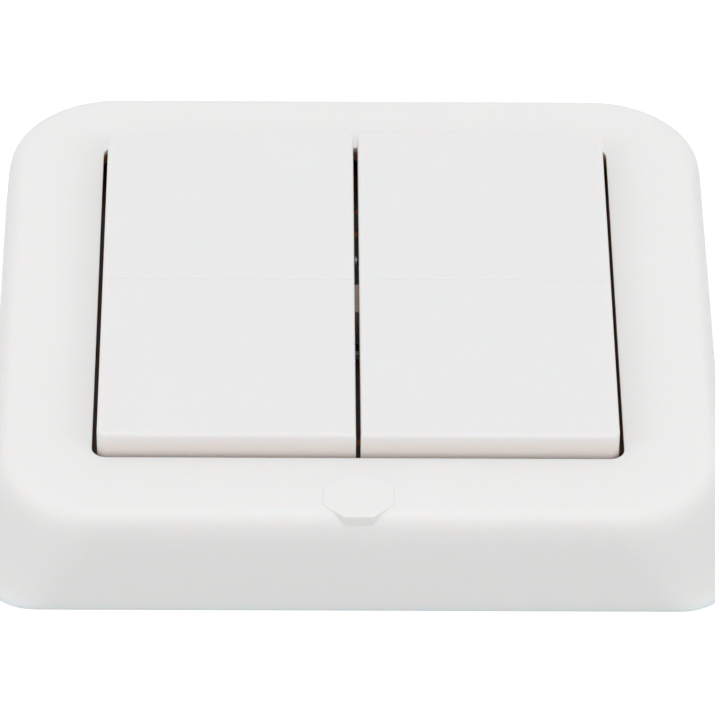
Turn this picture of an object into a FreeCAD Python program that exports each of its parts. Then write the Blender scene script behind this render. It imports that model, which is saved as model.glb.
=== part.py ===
import FreeCAD, Part
import math
import os
import re
import Sketcher
from FreeCAD import Vector

# Wireless remote wall switch with two rockers, millimetres.
# Origin: middle of the back face, on the wall. +Z out of the wall, +Y up the wall, +X right.

doc = FreeCAD.newDocument("RemoteWallSwitch")
sheet = doc.addObject("Spreadsheet::Sheet", "Sizes")

sizes = [
    ("screw_spacing", 60.0, "distance between the two wall screws, one above the other"),
    ("frame_margin", 10.0, "front frame beyond the wall screws, at the wall"),
    ("frame_border", 11.5, "frame from its outer edge at the wall to the pocket"),
    ("frame_rise", 4.2, "frame's top face above the board"),
    ("frame_wall", 1.8, "thickness of the frame's side wall"),
    ("frame_roof", 1.8, "thickness under the frame's top face"),
    ("wall_lean", 0.95, "how far the side wall leans in over the frame's height"),
    ("shoulder_width", 3.6, "soft edge from side wall to flat top face, its reach inwards"),
    ("shoulder_rise", 7.6, "the same soft edge, its height"),
    ("base_corner", 5.7, "plan corner radius at the wall"),
    ("top_corner", 12.2, "what that radius grows to by the top, before the shoulder takes its reach off"),
    ("pocket_corner", 1.6, "corner radius of the opening for the rockers"),
    ("badge_width", 7.4, "octagonal boss across its flats"),
    ("badge_inset", 1.28, "boss's near flat inside the frame's lower edge"),
    ("badge_stand", 0.14, "boss face above the frame's top face"),
    ("badge_edge", 0.1, "rounding of the boss's rim"),
    ("catch_length", 8.0, "length of each catch bump in the frame"),
    ("catch_height", 0.9, "height of each catch bump"),
    ("catch_bite", 0.4, "how far a bump reaches into the tray's wall"),
    ("catch_clear", 0.15, "play of a bump in its recess"),
    ("catch_rise", 0.5, "bumps above the tray's floor"),
    ("rocker_clear", 0.57, "gap between rocker and pocket wall"),
    ("centre_gap", 0.52, "gap between the two rockers"),
    ("rocker_proud", 2.65, "rocker face above the frame's top face"),
    ("rocker_roof", 1.6, "thickness of the rocker's face"),
    ("rocker_skirt", 1.3, "thickness of the rocker's side walls"),
    ("rocker_corner", 1.1, "plan radius of the rocker's outer corners"),
    ("rocker_edge", 0.4, "rounding of the rocker's top rim"),
    ("skirt_clear", 1.5, "skirt's lower edge above the board"),
    ("line_width", 0.34, "fine line across the rocker, width"),
    ("line_depth", 0.16, "fine line across the rocker, depth"),
    ("notch_width", 7.0, "gap in the skirt over the centre post"),
    ("notch_roof", 0.6, "skirt left above that gap"),
    ("lug_floor", 0.65, "clip lugs above the board"),
    ("pin_width", 2.0, "diameter of the pivot pins"),
    ("pin_clear", 0.05, "radial running clearance on the pins"),
    ("lug_thick", 1.6, "thickness of a clip lug"),
    ("lug_wall", 1.1, "material round a lug's bore"),
    ("lug_mouth", 1.7, "mouth through which a pin snaps in"),
    ("lug_clear", 0.3, "play between lug and post along the axis"),
    ("post_thick", 2.4, "thickness of a pivot post along the axis"),
    ("post_width", 5.0, "width of a pivot post across the axis"),
    ("post_room", 0.45, "centre post below the skirt that bridges it"),
    ("post_inset", 6.0, "outer post's middle inside the rocker's outer wall"),
    ("pin_end", 0.5, "pin beyond its lug"),
    ("slot_clear", 0.3, "board clear of the posts"),
    ("switch_side", 6.0, "push switch, side of its square body"),
    ("switch_body", 2.6, "height of the switch housing"),
    ("switch_floor", 0.8, "floor of the switch housing"),
    ("switch_bore", 5.0, "diameter of the hollow in the housing"),
    ("cover_thick", 0.25, "stamped cover of the switch"),
    ("plunger_width", 3.4, "diameter of the plunger"),
    ("plunger_clear", 0.1, "radial play of the plunger in its cover"),
    ("plunger_round", 0.25, "rounding of the plunger's head"),
    ("plunger_travel", 0.32, "travel each way from rest"),
    ("nub_width", 1.2, "nub under the plunger"),
    ("flap_width", 3.0, "side flap of the cover, width"),
    ("flap_drop", 1.1, "side flap of the cover, length downwards"),
    ("flange_width", 4.6, "diameter of the plunger's flange"),
    ("flange_thick", 0.5, "thickness of the flange"),
    ("flange_room", 0.5, "flange below the cover at rest"),
    ("dome_width", 4.4, "diameter of the contact dome"),
    ("dome_rise", 0.3, "height of the contact dome"),
    ("dome_bend", 0.21, "height of the dome halfway out"),
    ("dome_sheet", 0.1, "sheet thickness of the contact dome"),
    ("switch_away", 9.0, "switch from the pivot axis"),
    ("pad_drop", 1.0, "rocker's pad below the underside of its face"),
    ("pad_clear", 0.05, "rocker's pad above the plunger at rest"),
    ("pad_width", 2.0, "width of the pad, which has a full round nose"),
    ("pad_length", 4.0, "length of the pad along the pivot axis"),
    ("lead_width", 0.7, "solder tab of a switch, width"),
    ("lead_length", 1.0, "solder tab of a switch, length"),
    ("lead_thick", 0.2, "solder tab of a switch, thickness"),
    ("lead_pitch", 4.5, "distance between two tabs on one side"),
    ("plate_thick", 1.8, "wall plate"),
    ("plate_clear", 0.5, "wall plate clear of the frame's inside"),
    ("plate_corner", 4.4, "wall plate, corner radius"),
    ("screw_hole", 4.2, "diameter of the wall screw holes"),
    ("screw_room", 7.8, "opening in the tray over a wall screw's head"),
    ("hook_inset", 5.5, "wall plate hooks inside the tray's rim"),
    ("hook_up", 16.0, "wall plate hooks from the centre, up and down"),
    ("hook_length", 6.0, "length of a hook"),
    ("hook_stem", 1.2, "thickness of a hook's stem"),
    ("hook_nose", 0.7, "reach of a hook's nose"),
    ("hook_head", 0.9, "height of a hook's nose"),
    ("hook_clear", 0.15, "play of a hook over the tray's floor"),
    ("tray_lift", 0.2, "tray above the wall plate"),
    ("tray_floor", 1.2, "thickness of the tray's floor"),
    ("tray_wall", 1.5, "thickness of the tray's rim"),
    ("tray_clear", 0.5, "tray clear of the frame's inside at the roof"),
    ("tray_corner", 6.5, "corner radius of the tray"),
    ("tray_rim", 0.2, "tray's rim above the board's top"),
    ("boss_inset", 3.5, "board screws inside the tray's rim, both ways"),
    ("boss_width", 5.4, "diameter of a screw boss"),
    ("leaf_room", 0.5, "board above the coin cell, for the leaf spring"),
    ("board_thick", 1.2, "thickness of the board"),
    ("board_clear", 0.3, "board clear of the tray's rim"),
    ("board_corner", 5.0, "corner radius of the board"),
    ("board_screw", 2.0, "thread diameter of the board screws"),
    ("board_head", 4.2, "head diameter of the board screws"),
    ("head_thick", 1.2, "head height of the board screws"),
    ("screw_length", 3.4, "board screw below its head"),
    ("drive_width", 0.5, "arm width of the cross in a screw head"),
    ("drive_length", 2.8, "length of that cross"),
    ("drive_depth", 0.7, "depth of that cross"),
    ("screw_clear", 0.15, "board hole clear of its screw"),
    ("thread_clear", 0.02, "boss hole clear of the screw's thread"),
    ("cell_width", 20.0, "coin cell diameter"),
    ("cell_thick", 3.2, "coin cell thickness"),
    ("cell_rim", 1.2, "the cell's raised cap inside its edge"),
    ("cell_step", 0.5, "height of that cap"),
    ("cell_clear", 0.4, "cell clear of its well"),
    ("cell_inset", 0.5, "cell's back above the tray's back"),
    ("cell_side", 20.5, "cell's centre from the tray's left rim"),
    ("cell_drop", 17.5, "cell's centre below the tray's upper rim"),
    ("well_wall", 1.0, "wall of the cell's well"),
    ("contact_sheet", 0.2, "sheet thickness of the battery contacts"),
    ("contact_width", 4.0, "width of the battery contacts"),
    ("leaf_length", 11.0, "length of the negative leaf"),
    ("leaf_foot", 1.8, "soldered end of that leaf"),
    ("leaf_tip", 2.8, "turned-up end of that leaf"),
    ("foot_length", 2.4, "solder foot of the positive contact"),
    ("blade_lift", 1.0, "lower end of that contact above the cell's back"),
    ("cell_round", 0.4, "rounding of the cell's back edge"),
    ("chip_length", 8.65, "chip package, length"),
    ("chip_width", 3.9, "chip package, width"),
    ("chip_thick", 1.6, "chip package, top above the board"),
    ("chip_stand", 0.15, "chip package clear of the board"),
    ("chip_pitch", 1.27, "chip leads, pitch"),
    ("chip_lead", 0.42, "chip leads, width"),
    ("chip_foot", 1.05, "chip leads, reach beyond the package"),
    ("mark_width", 0.84, "dimple beside the chip's first lead"),
    ("mark_place", 0.84, "that dimple's middle from the package's edges"),
    ("mark_depth", 0.1, "depth of that dimple"),
    ("chip_across", 9.5, "chip's centre, across"),
    ("chip_up", -18.5, "chip's centre, up"),
    ("triode_length", 2.9, "transistor, length"),
    ("triode_width", 1.3, "transistor, width"),
    ("triode_thick", 1.1, "transistor, height"),
    ("triode_leg", 0.6, "transistor, leg length"),
    ("triode_pitch", 1.05, "transistor, outer leg from its middle"),
    ("triode_across", 6.0, "transistor's centre, across"),
    ("triode_up", 8.0, "transistor's centre, up"),
    ("crystal_length", 11.4, "crystal can, length"),
    ("crystal_width", 4.6, "crystal can, width"),
    ("crystal_thick", 3.4, "crystal can, height"),
    ("crystal_flange", 0.4, "crystal can, flange thickness and reach"),
    ("crystal_across", -12.5, "crystal's centre, across"),
    ("crystal_up", -19.0, "crystal's centre, up"),
    ("can_length", 5.0, "resonator, length"),
    ("can_width", 3.5, "resonator, width"),
    ("can_thick", 1.4, "resonator, height"),
    ("can_round", 0.25, "eased edges of resonator and capacitor"),
    ("can_across", 6.5, "resonator's centre, across"),
    ("can_up", 14.0, "resonator's centre, up"),
    ("tank_length", 3.5, "storage capacitor, length"),
    ("tank_width", 2.8, "storage capacitor, width"),
    ("tank_thick", 1.9, "storage capacitor, height"),
    ("tank_across", -6.5, "storage capacitor's centre, across"),
    ("tank_up", -9.0, "storage capacitor's centre, up"),
    ("lamp_length", 1.6, "indicator lamp, length"),
    ("lamp_width", 0.8, "indicator lamp, width"),
    ("lamp_thick", 0.7, "indicator lamp, height"),
    ("lamp_round", 0.12, "eased edges of the indicator lamp"),
    ("lamp_up", -5.3, "indicator lamp below the pivot axis"),
    ("coil_width", 3.0, "antenna coil, middle diameter"),
    ("wire_width", 0.6, "antenna wire diameter"),
    ("coil_pitch", 1.5, "antenna coil, pitch"),
    ("coil_length", 12.0, "antenna coil, length"),
    ("coil_side", 11.2, "antenna coil's left end from the board's edge"),
    ("coil_drop", 10.8, "antenna coil's axis below the board's edge"),
    ("coil_clear", 0.1, "antenna coil clear of the board"),
    ("small_length", 1.6, "small chip parts, length"),
    ("small_width", 0.8, "small chip parts, width"),
    ("small_thick", 0.45, "small chip parts, height"),
    ("small_pitch", 2.2, "distance between small chip parts"),
    ("small_side", 12.2, "columns of small chip parts from the board's right edge"),
    ("resistors_up", 9.0, "column of resistors, lowest one"),
    ("ceramics_down", 18.0, "column of ceramic capacitors, lowest one"),
    ("pad_recess", 0.4, "depth of the adhesive pad's seat in the wall plate"),
    ("seat_width", 18.0, "width of that seat"),
    ("seat_height", 44.0, "height of that seat"),
    ("seat_across", 16.0, "middle of that seat from the centre"),
    ("pad_margin", 0.25, "adhesive pad clear of its seat's edge"),
]

for row, (alias, number, note) in enumerate(sizes, start=1):
    sheet.set(f"A{row}", note)
    sheet.set(f"B{row}", str(number))
    sheet.setAlias(f"B{row}", alias)
doc.recompute()

pieces = {}


def linked(text):
    """The text with each size name pointed at its cell."""
    return re.sub(r"[a-z]+(?:_[a-z]+)+", lambda found: "Sizes." + found.group(0), text)


def amount(text):
    """The number that an expression comes to now."""
    return float(sheet.evalExpression(linked(text)))


def bind(thing, **settings):
    for name, text in settings.items():
        thing.setExpression(name.replace("__", "."), linked(text))


# Heights above the wall, each worked out from the sizes below it

trayBottom = "(plate_thick + tray_lift)"
floorTop = f"({trayBottom} + tray_floor)"
cellBottom = f"({trayBottom} + cell_inset)"
cellTop = f"({cellBottom} + cell_thick)"
boardBottom = f"({cellTop} + leaf_room)"
boardTop = f"({boardBottom} + board_thick)"
rimTop = f"({boardTop} + tray_rim)"
pinBore = "(pin_width / 2 + pin_clear)"
lugRadius = f"({pinBore} + lug_wall)"
lugBottom = f"({boardTop} + lug_floor)"
pivotHeight = f"({lugBottom} + {lugRadius})"
coverBottom = f"({boardTop} + switch_body)"
coverTop = f"({coverBottom} + cover_thick)"
frameTop = f"({boardTop} + frame_rise)"
shoulderStart = f"({frameTop} - shoulder_rise)"
roofBottom = f"({frameTop} - frame_roof)"
rockerTop = f"({frameTop} + rocker_proud)"
rockerCeiling = f"({rockerTop} - rocker_roof)"
skirtBottom = f"({boardTop} + skirt_clear)"
notchTop = f"({rockerCeiling} - notch_roof)"
postTop = f"({notchTop} - post_room)"
padBottom = f"({rockerCeiling} - pad_drop)"
plungerTop = f"({padBottom} - pad_clear)"
catchLow = f"({floorTop} + catch_rise)"
catchHigh = f"({catchLow} + catch_height)"
hookTop = f"({floorTop} + hook_clear + hook_head)"
screwTip = f"({boardTop} - screw_length)"
hollowFloor = f"({boardTop} + switch_floor)"
flangeBottom = f"({coverBottom} - flange_room - flange_thick)"

# Half widths and places from the middle, the same way

frameHalf = "(screw_spacing / 2 + frame_margin)"
softRoom = "shoulder_width / 4"
roofHalf = f"({frameHalf} - wall_lean - {softRoom} - frame_wall)"
baseHalf = f"({frameHalf} - frame_wall)"
trayHalf = f"({roofHalf} - tray_clear)"
trayInner = f"({trayHalf} - tray_wall)"
boardHalf = f"({trayInner} - board_clear)"
pocketHalf = f"({frameHalf} - frame_border)"
rockerInner = "(centre_gap / 2)"
rockerOuter = f"({pocketHalf} - rocker_clear)"
switchAcross = f"(({rockerInner} + {rockerOuter}) / 2)"
postPlace = f"({rockerOuter} - rocker_skirt - post_inset)"
bossPlace = f"({trayInner} - boss_inset)"
hookPlace = f"({trayInner} - hook_inset)"
cellAcross = f"(cell_side - {trayInner})"
cellUp = f"({trayInner} - cell_drop)"

# Where the clip lugs and the pins they run on start and end, along the pivot axis

besideInner = "post_thick / 2 + lug_clear"
besideOuter = f"{postPlace} + post_thick / 2 + lug_clear"
lugSpans = {
    "inner": (besideInner, f"{besideInner} + lug_thick"),
    "outer": (besideOuter, f"{besideOuter} + lug_thick"),
}
innerPinEnd = f"{besideInner} + lug_thick + pin_end"
outerPinEnd = f"{besideOuter} + lug_thick + pin_end"

# How fast the plan corners open out on the way up, how full the soft edge is (1 is a quarter
# ellipse, less is fuller), and where the outer surface has its contours

cornerCurve = 0.6
edgeCurve = 0.4
wallShares = (0.0, 0.4, 0.75)
shoulderAngles = (0, 3, 10, 25, 45, 60, 72, 82, 90)


def newBody(node):
    body = doc.addObject("PartDesign::Body", node)
    body.Label = node
    pieces[node] = body
    return body


def newSketch(body, name, plane, height):
    """A sketch on one of the body's own planes, lifted by height."""
    sketch = body.newObject("Sketcher::SketchObject", f"{body.Name}_{name}")
    planes = {own.Role: own for own in body.Origin.OriginFeatures}
    sketch.AttachmentSupport = [(planes[plane + "_Plane"], "")]
    sketch.MapMode = "FlatFace"
    bind(sketch, AttachmentOffset__Base__z=height)
    return sketch


def hold(sketch, kind, *places, length):
    """A driving constraint whose length is an expression."""
    index = sketch.addConstraint(Sketcher.Constraint(kind, *places, amount(length)))
    sketch.setExpression(f"Constraints[{index}]", linked(length))


def drawRectangle(sketch, left, right, low, high):
    first = sketch.GeometryCount
    xs, ys = (amount(left), amount(right)), (amount(low), amount(high))
    corners = [Vector(x, y, 0) for x, y in ((xs[0], ys[0]), (xs[1], ys[0]), (xs[1], ys[1]), (xs[0], ys[1]))]
    for i in range(4):
        sketch.addGeometry(Part.LineSegment(corners[i], corners[(i + 1) % 4]), False)
    for i in range(4):
        sketch.addConstraint(Sketcher.Constraint("Coincident", first + i, 2, first + (i + 1) % 4, 1))
        way = "Vertical" if i % 2 else "Horizontal"
        sketch.addConstraint(Sketcher.Constraint(way, first + i))
    hold(sketch, "DistanceX", -1, 1, first, 1, length=left)
    hold(sketch, "DistanceY", -1, 1, first, 1, length=low)
    hold(sketch, "DistanceX", -1, 1, first + 2, 1, length=right)
    hold(sketch, "DistanceY", -1, 1, first + 2, 1, length=high)


def drawCircle(sketch, across, up, radius):
    first = sketch.GeometryCount
    middle = Vector(amount(across), amount(up), 0)
    sketch.addGeometry(Part.Circle(middle, Vector(0, 0, 1), amount(radius)), False)
    hold(sketch, "DistanceX", -1, 1, first, 3, length=across)
    hold(sketch, "DistanceY", -1, 1, first, 3, length=up)
    hold(sketch, "Radius", first, length=radius)


def drawRounded(sketch, half, radius):
    """A square about the origin with round corners."""
    first = sketch.GeometryCount
    a, r = amount(half), amount(radius)
    turns = [(1, 1), (-1, 1), (-1, -1), (1, -1)]
    for i, (sx, sy) in enumerate(turns):
        middle = Vector(sx * (a - r), sy * (a - r), 0)
        arc = Part.Circle(middle, Vector(0, 0, 1), r)
        sketch.addGeometry(Part.ArcOfCircle(arc, i * math.pi / 2, (i + 1) * math.pi / 2), False)
    ends = [(sx * (a - r), sy * a) if sx * sy > 0 else (sx * a, sy * (a - r)) for sx, sy in turns]
    starts = [(sx * a, sy * (a - r)) if sx * sy > 0 else (sx * (a - r), sy * a) for sx, sy in turns]
    for i in range(4):
        line = Part.LineSegment(Vector(*ends[i], 0), Vector(*starts[(i + 1) % 4], 0))
        sketch.addGeometry(line, False)
    for i in range(4):
        sketch.addConstraint(Sketcher.Constraint("Tangent", first + i, 2, first + 4 + i, 1))
        sketch.addConstraint(Sketcher.Constraint("Tangent", first + 4 + i, 2, first + (i + 1) % 4, 1))
        way = "Vertical" if i % 2 else "Horizontal"
        sketch.addConstraint(Sketcher.Constraint(way, first + 4 + i))
    for i in range(1, 4):
        sketch.addConstraint(Sketcher.Constraint("Equal", first, first + i))
    upper, left, lower, right = range(first + 4, first + 8)
    hold(sketch, "Radius", first, length=radius)
    hold(sketch, "DistanceY", -1, 1, upper, 1, length=half)
    hold(sketch, "DistanceY", lower, 1, -1, 1, length=half)
    hold(sketch, "DistanceX", left, 1, -1, 1, length=half)
    hold(sketch, "DistanceX", -1, 1, right, 1, length=half)


def drawOutline(sketch, corners):
    """A closed outline whose every corner is held by two expressions."""
    first = sketch.GeometryCount
    points = [Vector(amount(x), amount(y), 0) for x, y in corners]
    count = len(points)
    for i in range(count):
        sketch.addGeometry(Part.LineSegment(points[i], points[(i + 1) % count]), False)
    for i, (x, y) in enumerate(corners):
        sketch.addConstraint(Sketcher.Constraint("Coincident", first + (i - 1) % count, 2, first + i, 1))
        hold(sketch, "DistanceX", -1, 1, first + i, 1, length=x)
        hold(sketch, "DistanceY", -1, 1, first + i, 1, length=y)


def drawPolygon(sketch, count, across, up, radius):
    """A regular polygon standing on a flat, inside a construction circle."""
    x, y, r = amount(across), amount(up), amount(radius)
    circle = sketch.addGeometry(Part.Circle(Vector(x, y, 0), Vector(0, 0, 1), r), True)
    turn = 2 * math.pi / count
    angles = [(i - 0.5) * turn - math.pi / 2 for i in range(count)]
    points = [Vector(x + r * math.cos(a), y + r * math.sin(a), 0) for a in angles]
    for i in range(count):
        sketch.addGeometry(Part.LineSegment(points[i], points[(i + 1) % count]), False)
    flat = circle + 1
    for i in range(count):
        sketch.addConstraint(Sketcher.Constraint("Coincident", flat + i, 2, flat + (i + 1) % count, 1))
        sketch.addConstraint(Sketcher.Constraint("PointOnObject", flat + i, 1, circle))
    for i in range(1, count):
        sketch.addConstraint(Sketcher.Constraint("Equal", flat, flat + i))
    sketch.addConstraint(Sketcher.Constraint("Horizontal", flat))
    hold(sketch, "DistanceX", -1, 1, circle, 3, length=across)
    hold(sketch, "DistanceY", -1, 1, circle, 3, length=up)
    hold(sketch, "Radius", circle, length=radius)


def drawStadium(sketch, reach, radius):
    """Two half circles joined by straights, about the origin."""
    a, r = amount(reach), amount(radius)
    for sign in (1, -1):
        arc = Part.Circle(Vector(sign * a, 0, 0), Vector(0, 0, 1), r)
        start = -math.pi / 2 if sign > 0 else math.pi / 2
        sketch.addGeometry(Part.ArcOfCircle(arc, start, start + math.pi), False)
    sketch.addGeometry(Part.LineSegment(Vector(a, r, 0), Vector(-a, r, 0)), False)
    sketch.addGeometry(Part.LineSegment(Vector(-a, -r, 0), Vector(a, -r, 0)), False)
    for one, other in ((0, 2), (2, 1), (1, 3), (3, 0)):
        sketch.addConstraint(Sketcher.Constraint("Tangent", one, 2, other, 1))
    sketch.addConstraint(Sketcher.Constraint("Horizontal", 2))
    sketch.addConstraint(Sketcher.Constraint("PointOnObject", 0, 3, -1))
    hold(sketch, "Radius", 0, length=radius)
    hold(sketch, "DistanceX", -1, 1, 0, 3, length=reach)
    hold(sketch, "DistanceX", 1, 3, -1, 1, length=reach)


def span(side, inner, outer):
    """Two places on one side of the middle, lower one first."""
    return (inner, outer) if side > 0 else (f"-({outer})", f"-({inner})")


def addPrism(body, name, plane, low, high, draw):
    """Material between two heights over what draw puts in the sketch."""
    sketch = newSketch(body, name + "_sketch", plane, low)
    draw(sketch)
    pad = body.newObject("PartDesign::Pad", f"{body.Name}_{name}")
    pad.Profile = sketch
    bind(pad, Length=f"({high}) - ({low})")
    return pad


def cutPrism(body, name, plane, low, high, draw):
    """The same, taken away: the pocket starts at the lower height and points up."""
    sketch = newSketch(body, name + "_sketch", plane, low)
    draw(sketch)
    pocket = body.newObject("PartDesign::Pocket", f"{body.Name}_{name}")
    pocket.Profile = sketch
    pocket.Reversed = True
    bind(pocket, Length=f"({high}) - ({low})")
    return pocket


def loftThrough(body, kind, name, sections):
    """A loft through rounded squares, each given as height, half width and corner radius."""
    sketches = []
    for i, (height, half, radius) in enumerate(sections):
        sketch = newSketch(body, f"{name}_{i}", "XY", height)
        drawRounded(sketch, half, radius)
        sketches.append(sketch)
    loft = body.newObject(kind, f"{body.Name}_{name}")
    loft.Profile = sketches[0]
    loft.Sections = sketches[1:]
    return loft


def roundEdges(body, name, feature, radius, test):
    """Rounds those edges of a feature whose every sampled point passes the test."""
    doc.recompute()
    edges = enumerate(feature.Shape.Edges, start=1)
    samples = 5
    chosen = [f"Edge{i}" for i, edge in edges if all(test(point) for point in edge.discretize(samples))]
    fillet = body.newObject("PartDesign::Fillet", f"{body.Name}_{name}")
    fillet.Base = (feature, chosen)
    bind(fillet, Radius=radius)
    doc.recompute()
    return fillet


def near(a, b):
    slack = 1e-3
    return abs(a - b) < slack


def makeFrontFrame():
    """Outer shell: leaning walls, crowned top, pocket for the rockers, boss and catch bumps."""
    body = newBody("front_frame")
    places = [(f"{shoulderStart} * {share}", "0") for share in wallShares]
    for angle in shoulderAngles:
        reach = f"shoulder_width * (1 - cos({angle}) ^ {edgeCurve})"
        places.append((f"({shoulderStart} + shoulder_rise * sin({angle}) ^ {edgeCurve})", reach))
    contours = []
    for height, reach in places:
        share = f"({height} / {frameTop})"
        corner = f"base_corner + (top_corner - base_corner) * {share} ^ {cornerCurve} - {reach}"
        contours.append((height, f"{frameHalf} - wall_lean * {share} - {reach}", corner))
    loftThrough(body, "PartDesign::AdditiveLoft", "shell", contours)

    hollow = [("0", baseHalf, "base_corner - frame_wall")]
    hollow.append((roofBottom, roofHalf, f"top_corner - {softRoom} - frame_wall"))
    loftThrough(body, "PartDesign::SubtractiveLoft", "hollow", hollow)
    pocket = lambda sketch: drawRounded(sketch, pocketHalf, "pocket_corner")
    cutPrism(body, "pocket", "XY", boardTop, rockerTop, pocket)

    bossUp = f"badge_inset + badge_width / 2 - {frameHalf}"
    sides = 8
    bossRadius = f"badge_width / 2 / cos({180 / sides})"
    eight = lambda sketch: drawPolygon(sketch, sides, "0", bossUp, bossRadius)
    face = f"({frameTop} + badge_stand)"
    boss = addPrism(body, "boss", "XY", f"({face} - frame_roof)", face, eight)
    faceHeight = amount(face)
    roundEdges(body, "boss_rim", boss, "badge_edge", lambda p: near(p.z, faceHeight))

    def bumps(sketch):
        half = "catch_length / 2"
        reach = (f"{trayHalf} - catch_bite", baseHalf)
        for side in (-1, 1):
            drawRectangle(sketch, *span(side, *reach), f"-{half}", half)
            drawRectangle(sketch, f"-{half}", half, *span(side, *reach))
    addPrism(body, "catches", "XY", catchLow, catchHigh, bumps)


def makeRocker(node, side):
    """Cap with a skirt, a fine line across its face, two clip lugs and two round-nosed pads."""
    body = newBody(node)
    inner, outer = rockerInner, rockerOuter
    block = lambda sketch: drawRectangle(sketch, *span(side, inner, outer), f"-{outer}", outer)
    cap = addPrism(body, "cap", "XY", skirtBottom, rockerTop, block)
    reach = amount(outer)
    atCorner = lambda p: near(abs(p.x), reach) and near(abs(p.y), reach)
    cap = roundEdges(body, "corners", cap, "rocker_corner", atCorner)
    top = amount(rockerTop)
    roundEdges(body, "rim", cap, "rocker_edge", lambda p: near(p.z, top))

    def hollow(sketch):
        wall = span(side, f"{inner} + rocker_skirt", f"{outer} - rocker_skirt")
        drawRectangle(sketch, *wall, f"rocker_skirt - {outer}", f"{outer} - rocker_skirt")
    cutPrism(body, "hollow", "XY", skirtBottom, rockerCeiling, hollow)

    def line(sketch):
        low, high = f"{rockerTop} - line_depth", f"{rockerTop} + line_depth"
        half = "line_width / 2"
        right, left = [(half, rockerTop), (half, high)], [(f"-{half}", high), (f"-{half}", rockerTop)]
        drawOutline(sketch, [("0", low), *right, *left])
    cutPrism(body, "line", "YZ", *span(side, "0", f"{outer} + rocker_clear"), line)

    notch = lambda sketch: drawRectangle(sketch, *span(side, "0", f"{inner} + rocker_skirt"),
                                         "-notch_width / 2", "notch_width / 2")
    cutPrism(body, "notch", "XY", skirtBottom, notchTop, notch)

    middle = f"{rockerCeiling} + rocker_roof / 2"
    for place, (start, stop) in lugSpans.items():
        ends = span(side, start, stop)
        plate = lambda sketch: drawRectangle(sketch, f"-{lugRadius}", lugRadius, pivotHeight, middle)
        ear = lambda sketch: drawCircle(sketch, "0", pivotHeight, lugRadius)
        bore = lambda sketch: drawCircle(sketch, "0", pivotHeight, pinBore)
        gap = ("-lug_mouth / 2", "lug_mouth / 2")
        mouth = lambda sketch: drawRectangle(sketch, *gap, lugBottom, pivotHeight)
        addPrism(body, f"lug_{place}", "YZ", *ends, plate)
        addPrism(body, f"ear_{place}", "YZ", *ends, ear)
        cutPrism(body, f"bore_{place}", "YZ", *ends, bore)
        cutPrism(body, f"mouth_{place}", "YZ", *ends, mouth)

    nose = f"({padBottom} + pad_width / 2)"
    ends = span(side, f"{switchAcross} - pad_length / 2", f"{switchAcross} + pad_length / 2")
    for name, way in (("lower", "-"), ("upper", "")):
        stalk = lambda sketch: drawRectangle(sketch, f"{way}switch_away - pad_width / 2",
                                             f"{way}switch_away + pad_width / 2", nose, middle)
        tip = lambda sketch: drawCircle(sketch, f"{way}switch_away", nose, "pad_width / 2")
        addPrism(body, f"pad_{name}", "YZ", *ends, stalk)
        addPrism(body, f"nose_{name}", "YZ", *ends, tip)


def drawHookSquares(sketch, inner, outer, half):
    """One rectangle at each of the four hooks."""
    for side in (-1, 1):
        for way in ("-", ""):
            ends = span(side, inner, outer)
            drawRectangle(sketch, *ends, f"{way}hook_up - {half}", f"{way}hook_up + {half}")


def makeWallPlate():
    """Plate that is screwed to the wall, with four hooks for the tray."""
    body = newBody("wall_plate")
    half = f"{baseHalf} - ({baseHalf} - {roofHalf}) * plate_thick / {roofBottom} - plate_clear"
    outline = lambda sketch: drawRounded(sketch, half, "plate_corner")
    holes = lambda sketch: drawWallScrews(sketch, "screw_hole / 2")
    addPrism(body, "plate", "XY", "0", "plate_thick", outline)
    cutPrism(body, "screw_holes", "XY", "0", "plate_thick", holes)
    long = "(hook_length / 2)"
    stemEnds = (f"{hookPlace} - hook_stem / 2", f"{hookPlace} + hook_stem / 2")
    stems = lambda sketch: drawHookSquares(sketch, *stemEnds, long)
    addPrism(body, "stems", "XY", "plate_thick / 2", hookTop, stems)
    stem, tip = f"{hookPlace} + hook_stem / 2", f"{hookPlace} + hook_stem / 2 + hook_nose"
    noses = lambda sketch: drawHookSquares(sketch, hookPlace, tip, long)
    addPrism(body, "noses", "XY", f"{floorTop} + hook_clear", hookTop, noses)
    windows = lambda sketch: drawHookSquares(sketch, stem, tip, long)
    cutPrism(body, "mould_windows", "XY", "0", "plate_thick", windows)

    cutPrism(body, "pad_seats", "XY", "0", "pad_recess", lambda sketch: drawSeats(sketch, "0"))


def drawSeats(sketch, margin):
    """The two seats for adhesive pads, each smaller by margin all round."""
    inner, outer = f"seat_across - seat_width / 2 + {margin}", f"seat_across + seat_width / 2 - {margin}"
    low, high = f"{margin} - seat_height / 2", f"seat_height / 2 - {margin}"
    for side in (-1, 1):
        drawRectangle(sketch, *span(side, inner, outer), low, high)


def makeAdhesivePads():
    """Two strips of foam tape for glueing the plate to a wall without screws."""
    body = newBody("adhesive_pads")
    addPrism(body, "strips", "XY", "0", "pad_recess", lambda sketch: drawSeats(sketch, "pad_margin"))


def drawWallScrews(sketch, radius):
    for way in ("-", ""):
        drawCircle(sketch, "0", f"{way}screw_spacing / 2", radius)


def drawBoardScrews(sketch, radius):
    for across in (f"-{bossPlace}", bossPlace):
        for up in (f"-{bossPlace}", bossPlace):
            drawCircle(sketch, across, up, radius)


def drawPosts(sketch, margin):
    """The centre post and the two outer ones, each larger by margin all round."""
    half, wide = f"(post_thick / 2 + {margin})", f"(post_width / 2 + {margin})"
    for middle in (f"-{postPlace}", "0", postPlace):
        drawRectangle(sketch, f"{middle} - {half}", f"{middle} + {half}", f"-{wide}", wide)


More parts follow.
